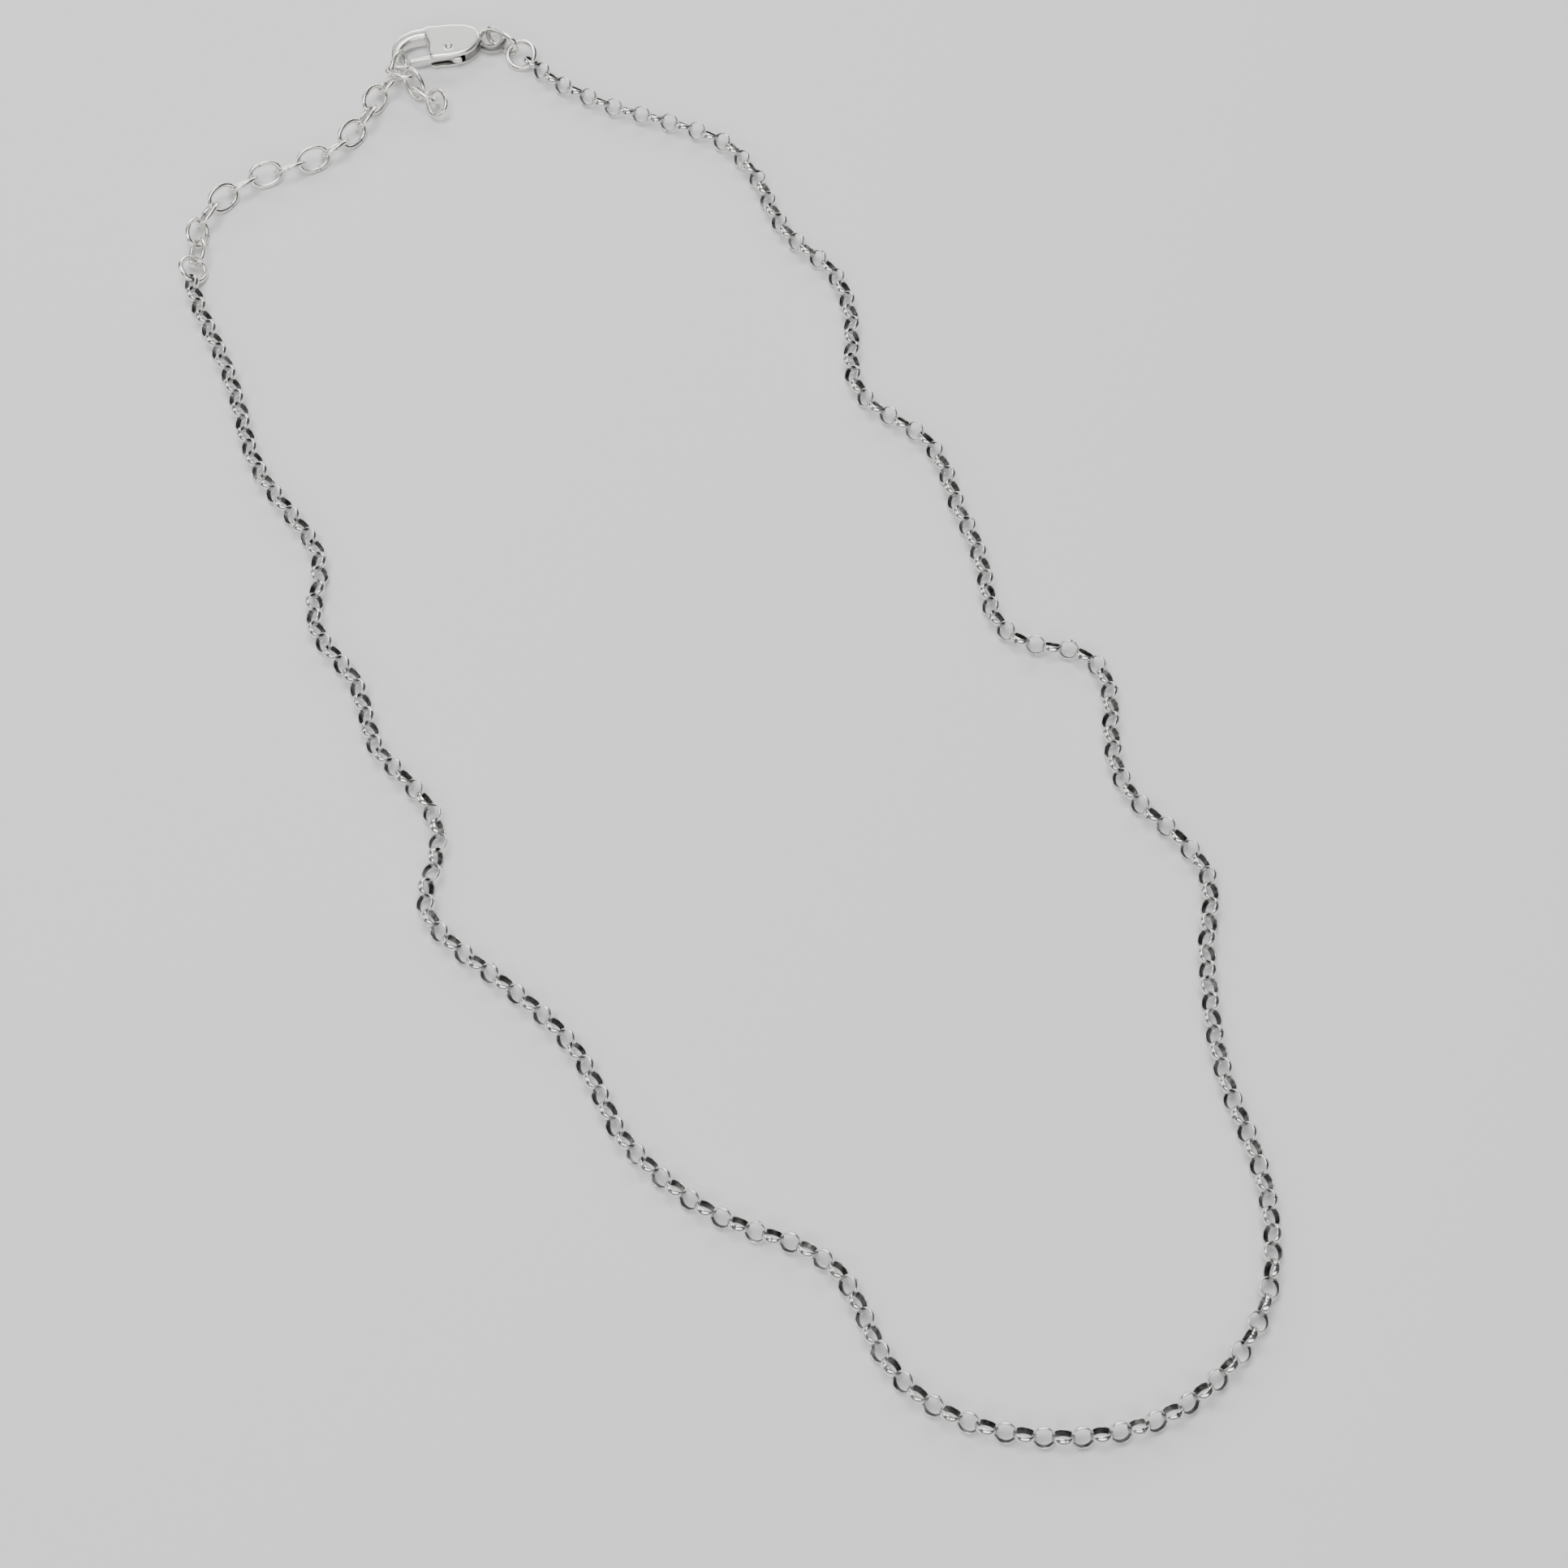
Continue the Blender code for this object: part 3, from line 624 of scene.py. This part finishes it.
def slab(pts, z0, z1, r, steps=5):
    """Solid between z0 and z1 with its edges rounded by r."""
    rows = []
    for k in range(steps + 1):
        g = math.pi / 2 * k / steps
        rows.append((inset(pts, r * (1 - math.sin(g))),
                     z0 + r * (1 - math.cos(g))))
    rows += [(p, z0 + z1 - z) for p, z in reversed(rows)]
    n = len(pts)
    verts = [Vector((p.x, p.y, z)) for row, z in rows for p in row]
    faces = []
    for k in range(len(rows) - 1):
        for i in range(n):
            j = (i + 1) % n
            faces.append((k * n + i, k * n + j, (k + 1) * n + j,
                          (k + 1) * n + i))
    faces.append(tuple(range(n - 1, -1, -1)))
    faces.append(tuple(range((len(rows) - 1) * n, len(rows) * n)))
    return verts, faces


def circle(c, r, n=36):
    return [Vector((c[0] + r * math.cos(2 * math.pi * k / n),
                    c[1] + r * math.sin(2 * math.pi * k / n)))
            for k in range(n)]


def hook_tube(zc, sides=20):
    """The hook: a tapering bar swept along its course, round at its tip."""
    rows = []
    c = with_ends([Vector(p) for p in HOOK])
    for i in range(1, len(c) - 2):
        rows += [curve(*c[i - 1:i + 3], k / 4) for k in range(4)]
    rows.append(c[-2])
    end = (rows[-1] - rows[-2])
    end = Vector((end[0], end[1])).normalized()
    for k in (1, 2, 3):
        g = math.pi / 2 * k / 3.4
        w, h = HOOK[-1][2], HOOK[-1][3]
        rows.append(Vector((c[-2][0] + end.x * w * math.sin(g),
                            c[-2][1] + end.y * w * math.sin(g),
                            w * math.cos(g), h * math.cos(g))))
    verts, faces = [], []
    n = len(rows)
    for k in range(n):
        a, b = rows[max(k - 1, 0)], rows[min(k + 1, n - 1)]
        t = Vector((b[0] - a[0], b[1] - a[1])).normalized()
        for j in range(sides):
            g = 2 * math.pi * j / sides
            w = rows[k][2] * math.copysign(abs(math.cos(g)) ** HOOK_POWER,
                                           math.cos(g))
            h = rows[k][3] * math.copysign(abs(math.sin(g)) ** HOOK_POWER,
                                           math.sin(g))
            verts.append(Vector((rows[k][0] + t.y * w, rows[k][1] - t.x * w,
                                 zc + h)))
    for k in range(n - 1):
        for j in range(sides):
            j2 = (j + 1) % sides
            faces.append((k * sides + j, k * sides + j2,
                          (k + 1) * sides + j2, (k + 1) * sides + j))
    faces.append(tuple(range(sides)))
    faces.append(tuple(range(n * sides - 1, (n - 1) * sides - 1, -1)))
    return verts, faces


def torus(c, r, w, h, zc, around=48, sides=16):
    verts = []
    for k in range(around):
        a = 2 * math.pi * k / around
        for j in range(sides):
            g = 2 * math.pi * j / sides
            rr = r + w * math.cos(g)
            verts.append(Vector((c[0] + rr * math.cos(a),
                                 c[1] + rr * math.sin(a),
                                 zc + h * math.sin(g))))
    return verts, ring_faces(around, sides)


def solid(name, verts_faces):
    verts, faces = verts_faces
    return new_object(name, [tuple(v) for v in verts], faces)


def settle(ob):
    """Gives the object the mesh its modifiers make, and clears them."""
    dg = bpy.context.evaluated_depsgraph_get()
    me = bpy.data.meshes.new_from_object(ob.evaluated_get(dg))
    ob.modifiers.clear()
    ob.data = me


def cut(base, op, tool):
    mod = base.modifiers.new("cut", 'BOOLEAN')
    mod.operation, mod.solver, mod.object = op, 'EXACT', tool
    settle(base)
    bpy.data.objects.remove(tool, do_unlink=True)


def melt(ob, size, passes):
    """Runs the surface together like a casting."""
    mod = ob.modifiers.new("melt", 'REMESH')
    mod.mode, mod.voxel_size = 'VOXEL', size
    mod = ob.modifiers.new("soft", 'SMOOTH')
    mod.factor, mod.iterations = MELT_SOFT, passes
    settle(ob)


def clasp_piece(ob, name, mat, body, node, tone):
    me = ob.data
    me.transform(CM)
    me.transform(Matrix.Scale(MM, 4))
    finish_surface(me, tone, mat)
    ob.name = name
    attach(ob, body)
    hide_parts(node)


def body_shade_tone(p):
    """Painted shade: dark in the slot and round the pivot, and a little round
    the eye.
    """
    tone = 0.0
    if SLOT_LOW - 0.05 < p.z < SLOT_HIGH + 0.05 and p.x > -3.2 and p.y < -0.2:
        tone = 0.65
    from_eye = math.hypot(p.x - EYE[0], p.y - EYE[1])
    if from_eye < 1.5:
        tone = max(tone, 0.35)
    if 1.9 < from_eye < 2.3 and p.x < 5.4:
        tone = max(tone, 0.30)
    from_pivot = math.hypot(p.x - PIVOT[0], p.y - PIVOT[1])
    if abs(from_pivot - PIN_R - BORE_CLEAR) < 0.10:
        tone = 0.75
    return tone


body = solid("clasp_cast", slab(loop(BODY_OUTLINE), 0.0, CLASP_T, BODY_ROUND))
cut(body, 'UNION', solid("hook", hook_tube(CLASP_T / 2)))
cut(body, 'UNION', solid("eye", torus(EYE, EYE_R, EYE_HALF_WIDE,
                                      EYE_HALF_HIGH, CLASP_T / 2)))
cut(body, 'DIFFERENCE', solid("slot", slab([Vector(p) for p in SLOT],
                                           SLOT_LOW, SLOT_HIGH, SHARP, 1)))
cut(body, 'DIFFERENCE', solid("bore", slab(circle(PIVOT, PIN_R + BORE_CLEAR),
                                           BORE_LOW, BORE_HIGH, SHARP, 1)))
melt(body, MELT_SIZE, MELT_PASSES)
clasp_piece(body, "clasp_casting", CLASP_METAL, "clasp", "clasp_body",
            [body_shade_tone(v.co) for v in body.data.vertices])

lever = solid("lever_cast", slab(loop(LEVER_OUTLINE, 4), LEVER_LOW,
                                 LEVER_HIGH, LEVER_ROUND, 4))
# The bar's lower part, below 0.9, gets 0.35 more tone: painted shade under the
# bar.
clasp_piece(lever, "clasp_bar", CLASP_METAL, "lever", "clasp_lever",
            [0.15 + (0.35 if v.co.z < 0.9 else 0.0)
                              for v in lever.data.vertices])

pin = solid("pin_turned", slab(circle(PIVOT, PIN_R), PIN_LOW, PIN_HIGH,
                               PIN_ROUND, 4))
clasp_piece(pin, "clasp_rivet", CLASP_METAL, "clasp", "clasp_pin",
            [0.05] * len(pin.data.vertices))


# ------------------------------------------------ the table, light and view
def plain(name, colour, rough):
    mat = bpy.data.materials.new(name)
    mat.use_nodes = True
    p = mat.node_tree.nodes["Principled BSDF"]
    p.inputs["Base Color"].default_value = (*colour, 1)
    p.inputs["Roughness"].default_value = rough
    p.inputs["Specular IOR Level"].default_value = 0.25
    return mat


HALF = 1.6               # of the table's side
me = bpy.data.meshes.new("table")
me.from_pydata([(-HALF, -HALF, 0), (HALF, -HALF, 0), (HALF, HALF, 0),
                (-HALF, HALF, 0)], [], [(0, 1, 2, 3)])
table = bpy.data.objects.new("table", me)
bpy.context.scene.collection.objects.link(table)
me.materials.append(plain("pale_table", (0.80, 0.80, 0.81), 0.60))

world = bpy.data.worlds.new("studio")
world.use_nodes = True
backdrop = world.node_tree.nodes["Background"]
backdrop.inputs["Color"].default_value = (1, 1, 1.02, 1)
backdrop.inputs["Strength"].default_value = 0.05
bpy.context.scene.world = world


def area(name, at, size, power):
    """A soft rectangular light that faces the middle of the table."""
    d = bpy.data.lights.new(name, 'AREA')
    d.shape = 'RECTANGLE'
    d.size, d.size_y = size
    d.energy = power
    o = bpy.data.objects.new(name, d)
    bpy.context.scene.collection.objects.link(o)
    o.location = at
    o.rotation_euler = (-Vector(at)).to_track_quat('-Z', 'Y').to_euler()


area("key", (-0.10, 0.10, 0.75), (0.60, 0.45), 5.6)
area("back", (0.0, 0.95, 0.50), (1.50, 0.34), 9.0)
area("front", (0.05, -0.90, 0.62), (1.30, 0.34), 7.0)
area("side", (-0.80, 0.0, 0.40), (0.40, 0.35), 1.8)

CAMERA_AT = (0.01236, -0.17993, 0.2898)
CAMERA_TILT = 29.0       # degrees from straight down
LENS, SENSOR = 65.07, 36.0
cam = bpy.data.cameras.new("view")
cam.lens, cam.sensor_width = LENS, SENSOR
cam.clip_start, cam.clip_end = 0.01, 10
eye = bpy.data.objects.new("view", cam)
bpy.context.scene.collection.objects.link(eye)
eye.location = CAMERA_AT
eye.rotation_euler = (math.radians(CAMERA_TILT), 0, 0)
bpy.context.scene.camera = eye
